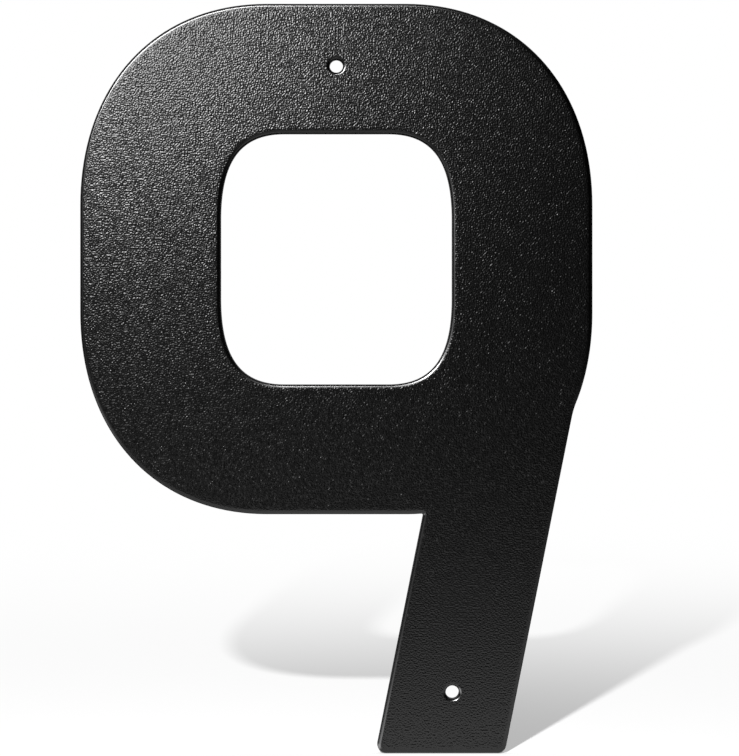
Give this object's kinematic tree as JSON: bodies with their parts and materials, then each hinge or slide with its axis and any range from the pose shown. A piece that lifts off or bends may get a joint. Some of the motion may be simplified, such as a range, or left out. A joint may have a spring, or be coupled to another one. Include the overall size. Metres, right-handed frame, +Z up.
{
  "type": "house number",
  "caption": "Flat metal house number in the form of a bold nine, black powder coated, with a screw hole in its top bar and another near its foot.",
  "frame": {"origin": "midway between the two screw holes, on the back face, which lies on the wall", "axes": "+Z up the numeral, -Y out of the wall towards the reader, +X to the reader's right"},
  "size_m": [0.1389, 0.003, 0.2033],
  "materials": {
    "powder_coat": "fine textured black powder coat, semi-gloss"
  },
  "bodies": {
    "root": {"number_plate": "powder_coat"}
  },
  "joints": []
}
